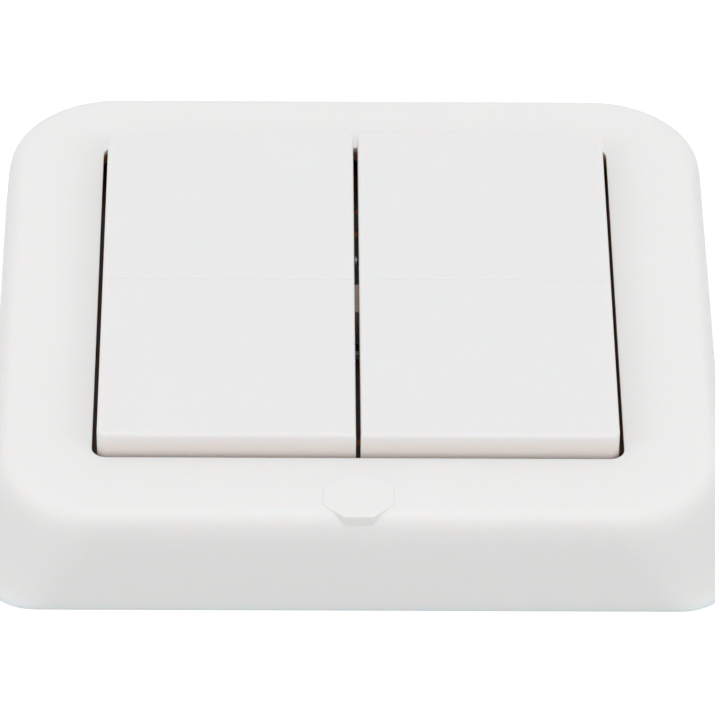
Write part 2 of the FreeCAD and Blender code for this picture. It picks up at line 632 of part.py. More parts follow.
def makeBaseTray():
    """Rear housing: floor, rim, screw bosses, pivot posts with their pins, and the cell's well."""
    body = newBody("base_tray")
    block = lambda sketch: drawRounded(sketch, trayHalf, "tray_corner")
    room = lambda sketch: drawRounded(sketch, trayInner, "tray_corner - tray_wall")
    addPrism(body, "block", "XY", trayBottom, rimTop, block)
    cutPrism(body, "room", "XY", floorTop, rimTop, room)
    sunk = f"{trayBottom} + tray_floor / 2"
    bosses = lambda sketch: drawBoardScrews(sketch, "boss_width / 2")
    thread = lambda sketch: drawBoardScrews(sketch, "board_screw / 2 + thread_clear")
    addPrism(body, "bosses", "XY", sunk, boardBottom, bosses)
    cutPrism(body, "boss_holes", "XY", f"{screwTip} - screw_clear", boardBottom, thread)
    addPrism(body, "posts", "XY", sunk, postTop, lambda sketch: drawPosts(sketch, "0"))
    pin = lambda sketch: drawCircle(sketch, "0", pivotHeight, "pin_width / 2")
    addPrism(body, "inner_pins", "YZ", f"-({innerPinEnd})", innerPinEnd, pin)
    for side, name in ((-1, "left"), (1, "right")):
        addPrism(body, f"{name}_pin", "YZ", *span(side, postPlace, outerPinEnd), pin)

    wellBore = "(cell_width / 2 + cell_clear)"
    ring = lambda sketch: drawCircle(sketch, cellAcross, cellUp, f"{wellBore} + well_wall")
    addPrism(body, "well", "XY", sunk, cellTop, ring)
    well = lambda sketch: drawCircle(sketch, cellAcross, cellUp, wellBore)
    cutPrism(body, "well_bore", "XY", trayBottom, cellTop, well)
    wide = "(contact_width / 2 + cell_clear)"
    gateEnd = f"{cellAcross} + {wellBore} + well_wall * 2"
    gateRows = (f"{cellUp} - {wide}", f"{cellUp} + {wide}")
    gate = lambda sketch: drawRectangle(sketch, cellAcross, gateEnd, *gateRows)
    cutPrism(body, "contact_gate", "XY", floorTop, cellTop, gate)
    room = lambda sketch: drawWallScrews(sketch, "screw_room / 2")
    cutPrism(body, "head_room", "XY", trayBottom, floorTop, room)
    nearEnd = f"{hookPlace} - hook_stem / 2 - hook_nose - hook_clear"
    farEnd = f"{hookPlace} + hook_stem / 2 + hook_clear"
    half = "(hook_length / 2 + hook_clear)"
    windows = lambda sketch: drawHookSquares(sketch, nearEnd, farEnd, half)
    cutPrism(body, "hook_windows", "XY", trayBottom, floorTop, windows)

    def recesses(sketch):
        half = "(catch_length / 2 + catch_clear)"
        reach = (f"{trayHalf} - catch_bite - catch_clear", f"{trayHalf} + catch_bite")
        for side in (-1, 1):
            drawRectangle(sketch, *span(side, *reach), f"-{half}", half)
            drawRectangle(sketch, f"-{half}", half, *span(side, *reach))
    low, high = f"{catchLow} - catch_clear", f"{catchHigh} + catch_clear"
    cutPrism(body, "catch_recesses", "XY", low, high, recesses)


def makeBoard():
    """Brown phenolic board with slots for the posts and holes for its screws."""
    body = newBody("circuit_board")
    panel = lambda sketch: drawRounded(sketch, boardHalf, "board_corner")
    slots = lambda sketch: drawPosts(sketch, "slot_clear")
    addPrism(body, "panel", "XY", boardBottom, boardTop, panel)
    cutPrism(body, "slots", "XY", boardBottom, boardTop, slots)
    holes = lambda sketch: drawBoardScrews(sketch, "board_screw / 2 + screw_clear")
    cutPrism(body, "holes", "XY", boardBottom, boardTop, holes)


def makeBoardScrews():
    """Four pan-head screws with a cross in each head."""
    body = newBody("board_screws")
    headTop = f"({boardTop} + head_thick)"
    shank = lambda sketch: drawBoardScrews(sketch, "board_screw / 2")
    head = lambda sketch: drawBoardScrews(sketch, "board_head / 2")
    addPrism(body, "shanks", "XY", screwTip, headTop, shank)
    addPrism(body, "heads", "XY", boardTop, headTop, head)
    arm, half = "(drive_length / 2)", "(drive_width / 2)"
    for name, (wide, tall) in {"bar": (arm, half), "stile": (half, arm)}.items():
        def cross(sketch):
            for across in (f"-{bossPlace}", bossPlace):
                for up in (f"-{bossPlace}", bossPlace):
                    ends = (f"{across} - {wide}", f"{across} + {wide}")
                    drawRectangle(sketch, *ends, f"{up} - {tall}", f"{up} + {tall}")
        cutPrism(body, name, "XY", f"{headTop} - drive_depth", headTop, cross)


def makeSwitch(place, across, up):
    """Push switch: housing with its hollow, stamped cover, contact dome and flanged plunger."""
    half = "(switch_side / 2)"
    square = lambda sketch: drawRectangle(sketch, f"-{half}", half, f"-{half}", half)
    centred = lambda radius: lambda sketch: drawCircle(sketch, "0", "0", radius)
    housing = newBody(f"switch_housing_{place}")
    addPrism(housing, "block", "XY", boardTop, coverBottom, square)
    cutPrism(housing, "bore", "XY", hollowFloor, coverBottom, centred("switch_bore / 2"))

    cover = newBody(f"switch_cover_{place}")
    addPrism(cover, "sheet", "XY", coverBottom, coverTop, square)

    def flaps(sketch):
        for side in (-1, 1):
            ends = span(side, half, f"{half} + cover_thick")
            drawRectangle(sketch, *ends, "-flap_width / 2", "flap_width / 2")
    addPrism(cover, "flaps", "XY", f"{coverTop} - flap_drop", coverTop, flaps)
    cutPrism(cover, "hole", "XY", coverBottom, coverTop, centred("plunger_width / 2 + plunger_clear"))

    dome = newBody(f"contact_dome_{place}")
    sketch = newSketch(dome, "profile", "XZ", "0")
    crest, rim = f"({hollowFloor} + dome_rise)", "(dome_width / 2)"
    bend = f"({hollowFloor} + dome_bend)"
    upper = [("0", crest), (f"{rim} / 2", bend), (rim, f"{hollowFloor} + dome_sheet")]
    lower = [(rim, hollowFloor), (f"{rim} / 2", f"{bend} - dome_sheet"), ("0", f"{crest} - dome_sheet")]
    drawOutline(sketch, upper + lower)
    turned = dome.newObject("PartDesign::Revolution", f"{dome.Name}_turned")
    turned.Profile = sketch
    turned.ReferenceAxis = (sketch, ["V_Axis"])

    plunger = newBody(f"plunger_{place}")
    stem = addPrism(plunger, "stem", "XY", flangeBottom, plungerTop, centred("plunger_width / 2"))
    head = amount(plungerTop)
    roundEdges(plunger, "crown", stem, "plunger_round", lambda p: near(p.z, head))
    flangeTop = f"{flangeBottom} + flange_thick"
    addPrism(plunger, "flange", "XY", flangeBottom, flangeTop, centred("flange_width / 2"))
    addPrism(plunger, "nub", "XY", f"{crest} + plunger_travel", flangeTop, centred("nub_width / 2"))
    for piece in (housing, cover, dome, plunger):
        bind(piece, Placement__Base__x=across, Placement__Base__y=up)


def makeSwitchLeads():
    """Sixteen solder tabs, four to a switch."""
    body = newBody("switch_leads")

    def tabs(sketch):
        for side in (-1, 1):
            for edge in (-1, 1):
                root = f"{switchAcross} + {edge} * switch_side / 2"
                tip = f"{switchAcross} + {edge} * (switch_side / 2 + lead_length)"
                ends = span(side, *((root, tip) if edge > 0 else (tip, root)))
                for way in (-1, 1):
                    for rank in (-1, 1):
                        middle = f"{way} * switch_away + {rank} * lead_pitch / 2"
                        low, high = f"{middle} - lead_width / 2", f"{middle} + lead_width / 2"
                        drawRectangle(sketch, *ends, low, high)
    addPrism(body, "tabs", "XY", boardTop, f"{boardTop} + lead_thick", tabs)


def makeCell():
    """Coin cell in its well, raised cap towards the board."""
    body = newBody("coin_cell")
    shoulder = f"({cellTop} - cell_step)"
    can = addPrism(body, "can", "XY", cellBottom, shoulder,
                   lambda sketch: drawCircle(sketch, cellAcross, cellUp, "cell_width / 2"))
    back = amount(cellBottom)
    roundEdges(body, "can_edge", can, "cell_round", lambda p: near(p.z, back))
    addPrism(body, "cap", "XY", f"{shoulder} - cell_step", cellTop,
             lambda sketch: drawCircle(sketch, cellAcross, cellUp, "cell_width / 2 - cell_rim"))


def makeContacts():
    """Leaf on the cell's cap and spring at its side, both soldered under the board."""
    leaf = newBody("negative_contact")
    tabTop, tabLow = boardBottom, f"{boardBottom} - contact_sheet"
    start, stop = f"{cellUp} - leaf_length / 2", f"{cellUp} + leaf_length / 2"
    bend, touch = f"{start} + leaf_foot", f"{stop} - leaf_tip"
    lipLow = f"{cellTop} + contact_sheet"
    lipHigh = f"{lipLow} + contact_sheet"

    def profile(sketch):
        under = [(start, tabLow), (bend, tabLow), (touch, cellTop), (stop, lipLow)]
        over = [(stop, lipHigh), (touch, lipLow), (bend, tabTop), (start, tabTop)]
        drawOutline(sketch, under + over)
    sides = (f"{cellAcross} - contact_width / 2", f"{cellAcross} + contact_width / 2")
    addPrism(leaf, "strip", "YZ", *sides, profile)

    spring = newBody("positive_contact")
    flank = f"({cellAcross} + cell_width / 2)"
    rows = (f"{cellUp} - contact_width / 2", f"{cellUp} + contact_width / 2")
    blade = lambda sketch: drawRectangle(sketch, flank, f"{flank} + contact_sheet", *rows)
    foot = lambda sketch: drawRectangle(sketch, flank, f"{flank} + foot_length", *rows)
    addPrism(spring, "blade", "XY", f"{cellBottom} + blade_lift", boardBottom, blade)
    addPrism(spring, "foot", "XY", tabLow, boardBottom, foot)


def makeChip():
    """Coding chip in a small-outline package, with its row of leads on each side."""
    body = newBody("controller_chip")
    half, deep = "(chip_length / 2)", "(chip_width / 2)"
    case = lambda sketch: drawRectangle(sketch, f"-{half}", half, f"-{deep}", deep)
    addPrism(body, "case", "XY", f"{boardTop} + chip_stand", f"{boardTop} + chip_thick", case)
    perSide = 7

    def leads(sketch, inner, outer):
        for i in range(perSide):
            middle = f"({i} - {(perSide - 1) / 2}) * chip_pitch"
            for side in (-1, 1):
                ends = span(side, inner, outer)
                drawRectangle(sketch, f"{middle} - chip_lead / 2", f"{middle} + chip_lead / 2", *ends)
    shoulder = f"({boardTop} + chip_thick / 2)"
    root, drop = f"{deep} + lead_thick", f"{deep} + lead_thick * 2"
    feet = lambda sketch: leads(sketch, root, f"{deep} + chip_foot")
    drops = lambda sketch: leads(sketch, root, drop)
    roots = lambda sketch: leads(sketch, f"{deep} - lead_thick", drop)
    addPrism(body, "lead_feet", "XY", boardTop, f"{boardTop} + lead_thick", feet)
    addPrism(body, "lead_drops", "XY", boardTop, shoulder, drops)
    addPrism(body, "lead_roots", "XY", f"{shoulder} - lead_thick", shoulder, roots)
    markTop = f"{boardTop} + chip_thick"
    mark = lambda sketch: drawCircle(sketch, f"mark_place - {half}", f"mark_place - {deep}", "mark_width / 2")
    cutPrism(body, "pin_mark", "XY", f"{markTop} - mark_depth", markTop, mark)
    bind(body, Placement__Base__x="chip_across", Placement__Base__y="chip_up")


def makeTransistor():
    """Small three-legged transistor."""
    body = newBody("rf_transistor")
    half, deep = "(triode_length / 2)", "(triode_width / 2)"
    addPrism(body, "case", "XY", f"{boardTop} + lead_thick / 2", f"{boardTop} + triode_thick",
             lambda sketch: drawRectangle(sketch, f"-{half}", half, f"-{deep}", deep))

    def legs(sketch):
        for middle, side in (("-triode_pitch", -1), ("triode_pitch", -1), ("0", 1)):
            ends = span(side, f"{deep} - lead_thick", f"{deep} + triode_leg")
            drawRectangle(sketch, f"{middle} - lead_thick", f"{middle} + lead_thick", *ends)
    addPrism(body, "legs", "XY", boardTop, f"{boardTop} + lead_thick", legs)
    bind(body, Placement__Base__x="triode_across", Placement__Base__y="triode_up")


def makeBlock(node, kind, across, up, edge):
    """A plain part on the board with its top edges eased."""
    body = newBody(node)
    length, width, thick = f"{kind}_length", f"{kind}_width", f"{kind}_thick"
    ends, sides = (f"-{length} / 2", f"{length} / 2"), (f"-{width} / 2", f"{width} / 2")
    block = lambda sketch: drawRectangle(sketch, *ends, *sides)
    case = addPrism(body, "case", "XY", boardTop, f"{boardTop} + {thick}", block)
    top = amount(f"{boardTop} + {thick}")
    roundEdges(body, "eased", case, edge, lambda p: near(p.z, top))
    bind(body, Placement__Base__x=across, Placement__Base__y=up)


def makeCrystal():
    """Quartz crystal in a low metal can with round ends, on a flange."""
    body = newBody("crystal_can")

    reach, lid = "(crystal_length / 2 - crystal_width / 2)", f"{boardTop} + crystal_thick"
    flange = lambda sketch: drawStadium(sketch, reach, "(crystal_width / 2 + crystal_flange)")
    oblong = lambda sketch: drawStadium(sketch, reach, "(crystal_width / 2)")
    addPrism(body, "flange", "XY", boardTop, f"{boardTop} + crystal_flange", flange)
    can = addPrism(body, "can", "XY", boardTop, lid, oblong)
    top = amount(lid)
    roundEdges(body, "eased", can, "crystal_flange", lambda p: near(p.z, top))
    bind(body, Placement__Base__x="crystal_across", Placement__Base__y="crystal_up")


def makeAntenna():
    """Coil of bare wire lying along the upper edge of the board."""
    body = newBody("antenna_coil")
    sketch = newSketch(body, "wire", "XZ", "0")
    drawCircle(sketch, "coil_width / 2", "0", "wire_width / 2")
    coil = body.newObject("PartDesign::AdditiveHelix", "antenna_coil_turns")
    coil.Profile = sketch
    coil.ReferenceAxis = (sketch, ["V_Axis"])
    coil.Mode = 0
    bind(coil, Pitch="coil_pitch", Height="coil_length")
    quarterTurn = 90
    body.Placement = FreeCAD.Placement(Vector(0, 0, 0), FreeCAD.Rotation(Vector(0, 1, 0), quarterTurn))
    axisHeight = f"{boardTop} + coil_width / 2 + wire_width / 2 + coil_clear"
    bind(body, Placement__Base__x=f"coil_side - {boardHalf}", Placement__Base__y=f"{boardHalf} - coil_drop")
    bind(body, Placement__Base__z=axisHeight)


def makeChips(node, count, lowest, thick):
    """A column of small surface-mounted parts near the board's right edge."""
    body = newBody(node)
    across = f"({boardHalf} - small_side)"

    def column(sketch):
        for i in range(count):
            middle = f"({lowest} + {i} * small_pitch)"
            drawRectangle(sketch, f"{across} - small_length / 2", f"{across} + small_length / 2",
                          f"{middle} - small_width / 2", f"{middle} + small_width / 2")
    addPrism(body, "column", "XY", boardTop, f"{boardTop} + {thick}", column)


resistors = 5
ceramics = 4

makeFrontFrame()
makeRocker("left_rocker", -1)
makeRocker("right_rocker", 1)
makeWallPlate()
makeAdhesivePads()
makeBaseTray()
makeBoard()
makeBoardScrews()
for across, side in ((f"-{switchAcross}", "left"), (switchAcross, "right")):
    for up, end in (("-switch_away", "lower"), ("switch_away", "upper")):
        makeSwitch(f"{side}_{end}", across, up)
makeSwitchLeads()
makeCell()
makeContacts()
makeChip()
makeTransistor()
makeCrystal()
makeAntenna()
makeBlock("rf_resonator", "can", "can_across", "can_up", "can_round")
makeBlock("storage_capacitor", "tank", "tank_across", "tank_up", "can_round")
makeBlock("indicator_led", "lamp", "0", "lamp_up", "lamp_round")
makeChips("chip_resistors", resistors, "resistors_up", "small_thick")
makeChips("chip_capacitors", ceramics, "-ceramics_down", "small_width")
doc.recompute()

for thing in doc.Objects:
    if "Invalid" in thing.State or "Error" in thing.State:
        raise RuntimeError(f"{thing.Name} did not compute: {thing.State}")
for node, piece in pieces.items():
    if piece.Shape.isNull() or not piece.Shape.isValid() or not piece.Shape.Solids:
        raise RuntimeError(f"{node} is not a valid solid")

os.makedirs("parts", exist_ok=True)
for node, piece in pieces.items():
    piece.Shape.exportStep(f"parts/{node}.step")
    box = piece.Shape.optimalBoundingBox()
    print(f"{node}: {len(piece.Shape.Solids)} solid(s), {piece.Shape.Volume:.1f} mm3,",
          f"z {box.ZMin:.2f} to {box.ZMax:.2f}")
print(len(pieces), "pieces")
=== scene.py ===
import math

import bmesh
import bpy
from mathutils import Matrix, Vector


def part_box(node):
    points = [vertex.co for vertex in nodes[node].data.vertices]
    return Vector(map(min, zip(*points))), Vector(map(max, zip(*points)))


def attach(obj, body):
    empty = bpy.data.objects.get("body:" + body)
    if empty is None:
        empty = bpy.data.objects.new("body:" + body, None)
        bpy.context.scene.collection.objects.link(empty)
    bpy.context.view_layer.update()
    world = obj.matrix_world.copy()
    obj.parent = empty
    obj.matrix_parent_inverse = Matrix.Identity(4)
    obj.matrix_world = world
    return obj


# Wireless remote wall switch, lying on its back as in the photograph. Metres, same frame as the CAD.

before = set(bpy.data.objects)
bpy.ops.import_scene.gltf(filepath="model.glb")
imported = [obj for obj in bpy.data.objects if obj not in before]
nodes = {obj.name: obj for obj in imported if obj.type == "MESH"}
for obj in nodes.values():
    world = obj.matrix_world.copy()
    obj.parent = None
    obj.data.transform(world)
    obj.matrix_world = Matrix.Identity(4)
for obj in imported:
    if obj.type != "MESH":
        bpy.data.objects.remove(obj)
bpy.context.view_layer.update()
mm = 0.001
print("frame loaded:", len(nodes), "nodes")


# Small helpers

def linearColour(hexText):  # an sRGB hex colour as linear red, green, blue and full alpha
    parts = [int(hexText[i:i + 2], 16) / 255 for i in (1, 3, 5)]
    return (*[c / 12.92 if c <= 0.04045 else ((c + 0.055) / 1.055) ** 2.4 for c in parts], 1.0)


def addNode(tree, kind, inputs=None, **settings):
    made = tree.nodes.new(kind)
    for name, value in settings.items():
        setattr(made, name, value)
    for name, value in (inputs or {}).items():
        if isinstance(value, bpy.types.NodeSocket):
            tree.links.new(value, made.inputs[name])
        else:
            made.inputs[name].default_value = value
    return made


def startMaterial(name):  # a material whose node tree is empty
    material = bpy.data.materials.new(name)
    material.use_nodes = True
    material.node_tree.nodes.clear()
    return material, material.node_tree


def finishMaterial(tree, shader):
    output = addNode(tree, "ShaderNodeOutputMaterial")
    tree.links.new(shader.outputs[0], output.inputs["Surface"])


def patternSize(sizeMm):  # a noise scale whose features are about this many millimetres
    return 1 / (sizeMm * mm)


def noiseAt(tree, sizeMm, detail=2.0, stretch=None):
    where = addNode(tree, "ShaderNodeTexCoord").outputs["Object"]
    if stretch:
        where = addNode(tree, "ShaderNodeMapping", {"Vector": where, "Scale": stretch}).outputs[0]
    return addNode(tree, "ShaderNodeTexNoise",
                   {"Vector": where, "Scale": patternSize(sizeMm), "Detail": detail, "Roughness": 0.5})


noiseLow, noiseHigh = 0.3, 0.7  # nearly all of a noise lies between these


def between(tree, factor, low, high):  # a number that goes from low to high with a noise
    return addNode(tree, "ShaderNodeMapRange", {"Value": factor, "From Min": noiseLow, "From Max": noiseHigh,
                                                "To Min": low, "To Max": high}).outputs[0]


def twoTone(tree, factor, first, second):  # a colour that goes from the first to the second
    mixed = addNode(tree, "ShaderNodeMix", data_type="RGBA")
    tree.links.new(factor, mixed.inputs[0])
    mixed.inputs[6].default_value = linearColour(first)
    mixed.inputs[7].default_value = linearColour(second)
    return mixed.outputs[2]


def bumpFrom(tree, height, depthMm):
    return addNode(tree, "ShaderNodeBump",
                   {"Height": height, "Distance": depthMm * mm, "Strength": 1.0}).outputs[0]


def dress(name, material):  # gives a CAD piece its finish
    data = nodes[name].data
    data.materials.clear()
    data.materials.append(material)


# Camera: where the photograph was taken from, fitted to points on the object's outline

camera = {
    "elevation": 37.319, "yaw": -0.792, "roll": 0.709,  # degrees
    "distance": 735.41, "target": (0.137, -3.177, 5.8),  # millimetres
    "focal": 6666.3, "imageWidth": 715,  # pixels of the photograph
    "sensor": 36.0, "nearest": 10.0,  # millimetres
}


def makeCamera():
    rise, yaw, roll = (math.radians(camera[k]) for k in ("elevation", "yaw", "roll"))
    back = Vector((math.sin(yaw) * math.cos(rise), -math.cos(yaw) * math.cos(rise), math.sin(rise)))
    right = Vector((math.cos(yaw), math.sin(yaw), 0))
    up = back.cross(right)
    turnedRight = math.cos(roll) * right + math.sin(roll) * up
    turnedUp = math.cos(roll) * up - math.sin(roll) * right
    place = (Vector(camera["target"]) + back * camera["distance"]) * mm
    data = bpy.data.cameras.new("photoCamera")
    data.sensor_width = camera["sensor"]
    data.lens = camera["focal"] / camera["imageWidth"] * camera["sensor"]
    data.clip_start = camera["nearest"] * mm
    seen = bpy.data.objects.new("photoCamera", data)
    turn = Matrix((turnedRight, turnedUp, back)).transposed().to_4x4()
    seen.matrix_world = Matrix.Translation(place) @ turn
    bpy.context.scene.collection.objects.link(seen)
    bpy.context.scene.camera = seen


makeCamera()
print("camera placed")


# Studio: white table, even light from a bright room, one weak softbox above and two stronger in front

studio = {
    "tableSize": 6.0, "tableTones": ("#bcbcbc", "#bebebe"), "tableCloudMm": 60,
    "tableGlow": 0.62,  # makes the table white where it is seen, without lighting the object
    "tableDropMm": 0.03,  # just under the wall plate's back, so that the two don't flicker
    "roomStrength": 0.87, "roomColour": "#ffffff",
    "topBox": {"place": (0.0, 0.15, 1.30), "size": (0.9, 0.7), "power": 0.9},
    "leftBox": {"place": (-1.60, -1.20, 1.10), "size": (0.5, 0.7), "power": 4.6},
    "rightBox": {"place": (1.60, -1.20, 1.10), "size": (0.5, 0.7), "power": 4.6},
    "aim": (0.0, 0.0, 0.008),
}


def makeTable():
    shape = bmesh.new()
    bmesh.ops.create_grid(shape, x_segments=2, y_segments=2, size=studio["tableSize"] / 2,
                          matrix=Matrix.Translation((0, 0, -studio["tableDropMm"] * mm)))
    data = bpy.data.meshes.new("table")
    shape.to_mesh(data)
    shape.free()
    table = bpy.data.objects.new("table", data)
    bpy.context.scene.collection.objects.link(table)
    material, tree = startMaterial("whitePaperSweep")
    cloud = noiseAt(tree, studio["tableCloudMm"])
    paper = addNode(tree, "ShaderNodeBsdfDiffuse",
                    {"Color": twoTone(tree, cloud.outputs[0], *studio["tableTones"])})
    glow = addNode(tree, "ShaderNodeEmission", {"Color": (1, 1, 1, 1), "Strength": studio["tableGlow"]})
    seen = addNode(tree, "ShaderNodeLightPath")
    nothing = addNode(tree, "ShaderNodeEmission", {"Color": (0, 0, 0, 1), "Strength": 0.0})
    direct = addNode(tree, "ShaderNodeMath", {0: seen.outputs["Is Camera Ray"],
                                              1: seen.outputs["Is Glossy Ray"]}, operation="MAXIMUM")
    anyway = addNode(tree, "ShaderNodeMath", {0: direct.outputs[0], 1: seen.outputs["Is Transmission Ray"]},
                     operation="MAXIMUM")
    lit = addNode(tree, "ShaderNodeMixShader",
                  {0: anyway.outputs[0], 1: nothing.outputs[0], 2: glow.outputs[0]})
    finishMaterial(tree, addNode(tree, "ShaderNodeAddShader", {0: paper.outputs[0], 1: lit.outputs[0]}))
    data.materials.append(material)


def makeSoftbox(name):
    box = studio[name]
    data = bpy.data.lights.new(name, "AREA")
    data.shape = "RECTANGLE"
    data.size, data.size_y = box["size"]
    data.energy = box["power"]
    lamp = bpy.data.objects.new(name, data)
    place = Vector(box["place"])
    lamp.location = place
    lamp.rotation_euler = (Vector(studio["aim"]) - place).to_track_quat("-Z", "Y").to_euler()
    bpy.context.scene.collection.objects.link(lamp)


def makeRoom():
    world = bpy.data.worlds.new("brightRoom")
    world.use_nodes = True
    tree = world.node_tree
    tree.nodes.clear()
    seen = addNode(tree, "ShaderNodeLightPath")
    room = addNode(tree, "ShaderNodeBackground",
                   {"Color": linearColour(studio["roomColour"]), "Strength": studio["roomStrength"]})
    white = addNode(tree, "ShaderNodeBackground", {"Color": (1, 1, 1, 1), "Strength": 1.0})
    mixed = addNode(tree, "ShaderNodeMixShader",
                    {0: seen.outputs["Is Camera Ray"], 1: room.outputs[0], 2: white.outputs[0]})
    output = addNode(tree, "ShaderNodeOutputWorld")
    tree.links.new(mixed.outputs[0], output.inputs["Surface"])
    bpy.context.scene.world = world


makeTable()
for name in ("topBox", "leftBox", "rightBox"):
    makeSoftbox(name)
makeRoom()
bpy.context.scene.view_settings.view_transform = "Standard"
print("studio lit")


# White ABS, moulded in a spark-eroded tool: opaque, satin, with a fine even grain that softens reflections,
# and painted shade on the walls of the gaps

whiteAbs = {
    "frameTones": ("#ececeb", "#eeeeed"), "rockerTones": ("#e9e9e9", "#ebebeb"),
    "ior": 1.53, "sheen": 0.4, "roughness": (0.42, 0.50), "rockerRoughness": (0.32, 0.40),
    "grainMm": 0.5, "grainDepthMm": 0.004,  # real grain is about 0.1 mm, drawn coarser so that it shows
    "flowMm": 14.0, "flowDepthMm": 0.006,  # the slow waviness of a moulded face
    "glowWeight": 0.35, "glowDepthMm": 1.2, "glowReach": (1.0, 0.45, 0.3),  # light creeps into thin rims
    # painted shade: a warm, darker colour on the walls of the gaps, standing in for the shade and warm
    # bounced light there, growing from one depth to another
    "frameGapShade": {"tone": "#8f6846", "startMm": 0.2, "fullMm": 0.9},
    "rockerGapShade": {"tone": "#eae2dd", "startMm": 0.3, "fullMm": 1.6},
    "gapShadeReachMm": 0.8,
}


def paintedGapShade(tree, gap, top):  # where shade is painted: 0 on top, 1 on walls below it that stand in or beside the frame's pocket
    place = addNode(tree, "ShaderNodeTexCoord").outputs["Object"]
    height = addNode(tree, "ShaderNodeSeparateXYZ", {0: place}).outputs["Z"]
    depth = addNode(tree, "ShaderNodeMapRange", {
        "Value": height, "From Min": top - gap["startMm"] * mm, "From Max": top - gap["fullMm"] * mm,
        "To Min": 0.0, "To Max": 1.0}).outputs[0]
    outwards = addNode(tree, "ShaderNodeVectorMath", {0: place}, operation="ABSOLUTE").outputs[0]
    sides = addNode(tree, "ShaderNodeSeparateXYZ", {0: outwards})
    furthest = addNode(tree, "ShaderNodeMath", {0: sides.outputs["X"], 1: sides.outputs["Y"]},
                       operation="MAXIMUM")
    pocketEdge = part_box("right_rocker")[1].x + whiteAbs["gapShadeReachMm"] * mm
    inside = addNode(tree, "ShaderNodeMath", {0: furthest.outputs[0], 1: pocketEdge}, operation="LESS_THAN")
    return addNode(tree, "ShaderNodeMath", {0: depth, 1: inside.outputs[0]}, operation="MULTIPLY").outputs[0]


def makeWhiteAbs(name, tones, roughness, gap, top):
    look = whiteAbs
    material, tree = startMaterial(name)
    flow = noiseAt(tree, look["flowMm"])
    grain = noiseAt(tree, look["grainMm"], detail=3.0)
    wave = bumpFrom(tree, flow.outputs[0], look["flowDepthMm"])
    bump = addNode(tree, "ShaderNodeBump", {
        "Height": grain.outputs[0], "Distance": look["grainDepthMm"] * mm, "Strength": 1.0, "Normal": wave})
    # painted shade: the gap walls take a warm, darker colour in place of their shading
    shadeTinted = addNode(tree, "ShaderNodeMix", {
        0: paintedGapShade(tree, gap, top), 6: twoTone(tree, flow.outputs[0], *tones),
        7: linearColour(gap["tone"])}, data_type="RGBA")
    shader = addNode(tree, "ShaderNodeBsdfPrincipled", {
        "Base Color": shadeTinted.outputs[2],
        "Roughness": between(tree, grain.outputs[0], *roughness),
        "IOR": look["ior"], "Specular IOR Level": look["sheen"], "Normal": bump.outputs[0],
        "Subsurface Weight": look["glowWeight"], "Subsurface Scale": look["glowDepthMm"] * mm,
        "Subsurface Radius": look["glowReach"]})
    finishMaterial(tree, shader)
    return material


frameTop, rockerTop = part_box("front_frame")[1].z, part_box("left_rocker")[1].z
dress("front_frame", makeWhiteAbs("whiteMouldedAbs", whiteAbs["frameTones"], whiteAbs["roughness"],
                                  whiteAbs["frameGapShade"], frameTop))
rockerAbs = makeWhiteAbs("whiteSatinAbs", whiteAbs["rockerTones"], whiteAbs["rockerRoughness"],
                         whiteAbs["rockerGapShade"], rockerTop)
for name in ("left_rocker", "right_rocker"):
    dress(name, rockerAbs)
print("white mouldings dressed")


# Materials of the parts behind the rockers and under the frame

def makeMaterial(name, tones, toneMm, roughness, bumpMm=None, depthMm=0.0, stretch=None, **constants):
    # two tones mottled at one real size, and a fine relief that the roughness varies with
    material, tree = startMaterial(name)
    mottle = noiseAt(tree, toneMm, detail=3.0, stretch=stretch)
    relief = noiseAt(tree, bumpMm or toneMm, detail=4.0, stretch=stretch)
    inputs = {"Base Color": twoTone(tree, mottle.outputs[0], *tones),
              "Roughness": between(tree, relief.outputs[0], *roughness),
              "Normal": bumpFrom(tree, relief.outputs[0], depthMm)}
    inputs.update(constants)
    finishMaterial(tree, addNode(tree, "ShaderNodeBsdfPrincipled", inputs))
    return material


